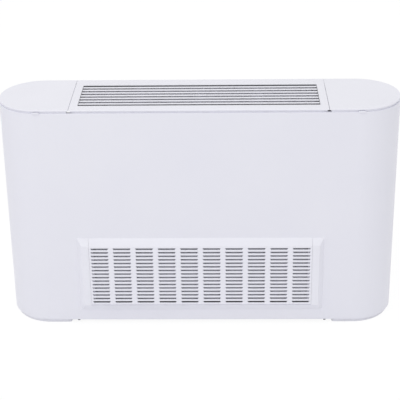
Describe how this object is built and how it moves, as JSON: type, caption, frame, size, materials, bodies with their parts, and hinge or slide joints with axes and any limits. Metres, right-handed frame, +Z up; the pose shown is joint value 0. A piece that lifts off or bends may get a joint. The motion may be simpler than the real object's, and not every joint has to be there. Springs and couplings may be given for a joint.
{
  "type": "air conditioner indoor unit",
  "caption": "Floor-standing fan coil indoor unit: rounded white casing, slotted tilting intake grille low on the front, louvred top outlet and hinged end lids.",
  "frame": {"origin": "middle of the footprint on the floor, on the bounding box's bottom face", "axes": "+X to the right along the front, +Y back to the wall, +Z up; the front grille faces -Y"},
  "size_m": [1, 0.232, 0.596],
  "materials": {
    "casing_paint": "smooth satin powder coat",
    "cover_paint": "smooth satin powder coat",
    "grille_white": "fine moulded satin",
    "foot_plastic": "moulded",
    "filter_plastic": "moulded",
    "filter_cloth": "open woven cloth",
    "galvanised": "spangled zinc coat",
    "zinc_steel": "bright zinc plate",
    "fan_plastic": "moulded",
    "motor_enamel": "satin enamel",
    "ring_rubber": "moulded",
    "fin_aluminium": "rolled fin stock",
    "copper": "drawn, slightly oxidised",
    "brass": "turned",
    "foam": "closed cell foam",
    "tray_plastic": "moulded",
    "electrical_plastic": "moulded",
    "capacitor_can": "drawn can"
  },
  "bodies": {
    "chassis": {"air_vent": "brass", "base_rail_front": "galvanised", "base_rail_rear": "galvanised", "cable_gland": "electrical_plastic", "casing_clips": "galvanised", "clip_screws": "zinc_steel", "coil_fins": "fin_aluminium", "control_box": "galvanised", "control_box_cover": "galvanised", "crossover_bends": "copper", "drain_pan": "galvanised", "drip_tray": "tray_plastic", "fan_deck": "galvanised", "fan_motor": "motor_enamel", "front_casing": "casing_paint", "front_rail_lower": "galvanised", "front_rail_upper": "galvanised", "intake_frame": "grille_white", "left_coil_plate": "galvanised", "left_end_plate": "galvanised", "left_fan_scroll": "galvanised", "left_foot": "foot_plastic", "left_lid_bracket": "galvanised", "left_lid_pin": "zinc_steel", "motor_bearings": "zinc_steel", "motor_cradles": "galvanised", "motor_rings": "ring_rubber", "outlet_louvre": "grille_white", "pan_lining": "foam", "rear_plate": "galvanised", "return_bends": "copper", "return_header": "copper", "return_socket": "brass", "right_coil_plate": "galvanised", "right_end_plate": "galvanised", "right_fan_scroll": "galvanised", "right_foot": "foot_plastic", "right_lid_bracket": "galvanised", "right_lid_pin": "zinc_steel", "run_capacitor": "capacitor_can", "supply_header": "copper", "supply_socket": "brass", "terminal_block": "electrical_plastic", "top_cover": "cover_paint"},
    "left_lid": {"left_lid": "cover_paint"},
    "right_lid": {"right_lid": "cover_paint"},
    "grille": {"intake_grille": "grille_white"},
    "filter": {"filter_frame": "filter_plastic", "filter_mesh": "filter_cloth"},
    "rotor": {"motor_shaft": "zinc_steel", "left_fan_wheel": "fan_plastic", "right_fan_wheel": "fan_plastic"},
    "bleed_screw": {"bleed_screw": "brass"}
  },
  "joints": [
    {"name": "fan_spin", "type": "hinge", "parent": "chassis", "child": "rotor", "pos_m": [0, 0.018, 0.15], "axis": [1, 0, 0], "continuous": true},
    {"name": "left_lid_hinge", "type": "hinge", "parent": "chassis", "child": "left_lid", "pos_m": [-0.359, 0.1095, 0.59], "axis": [-1, 0, 0], "range_deg": [0, 90]},
    {"name": "right_lid_hinge", "type": "hinge", "parent": "chassis", "child": "right_lid", "pos_m": [0.359, 0.1095, 0.59], "axis": [-1, 0, 0], "range_deg": [0, 90]},
    {"name": "grille_tilt", "type": "hinge", "parent": "chassis", "child": "grille", "pos_m": [0, -0.113, 0.064], "axis": [1, 0, 0], "range_deg": [0, 60]},
    {"name": "filter_slide", "type": "slide", "parent": "grille", "child": "filter", "axis": [0, 0, 1], "range_m": [0, 0.1]},
    {"name": "bleed_turn", "type": "hinge", "parent": "chassis", "child": "bleed_screw", "pos_m": [-0.3532, 0.06981, 0.48052], "axis": [0, 0.5736, 0.8192], "range_deg": [0, 360]}
  ]
}
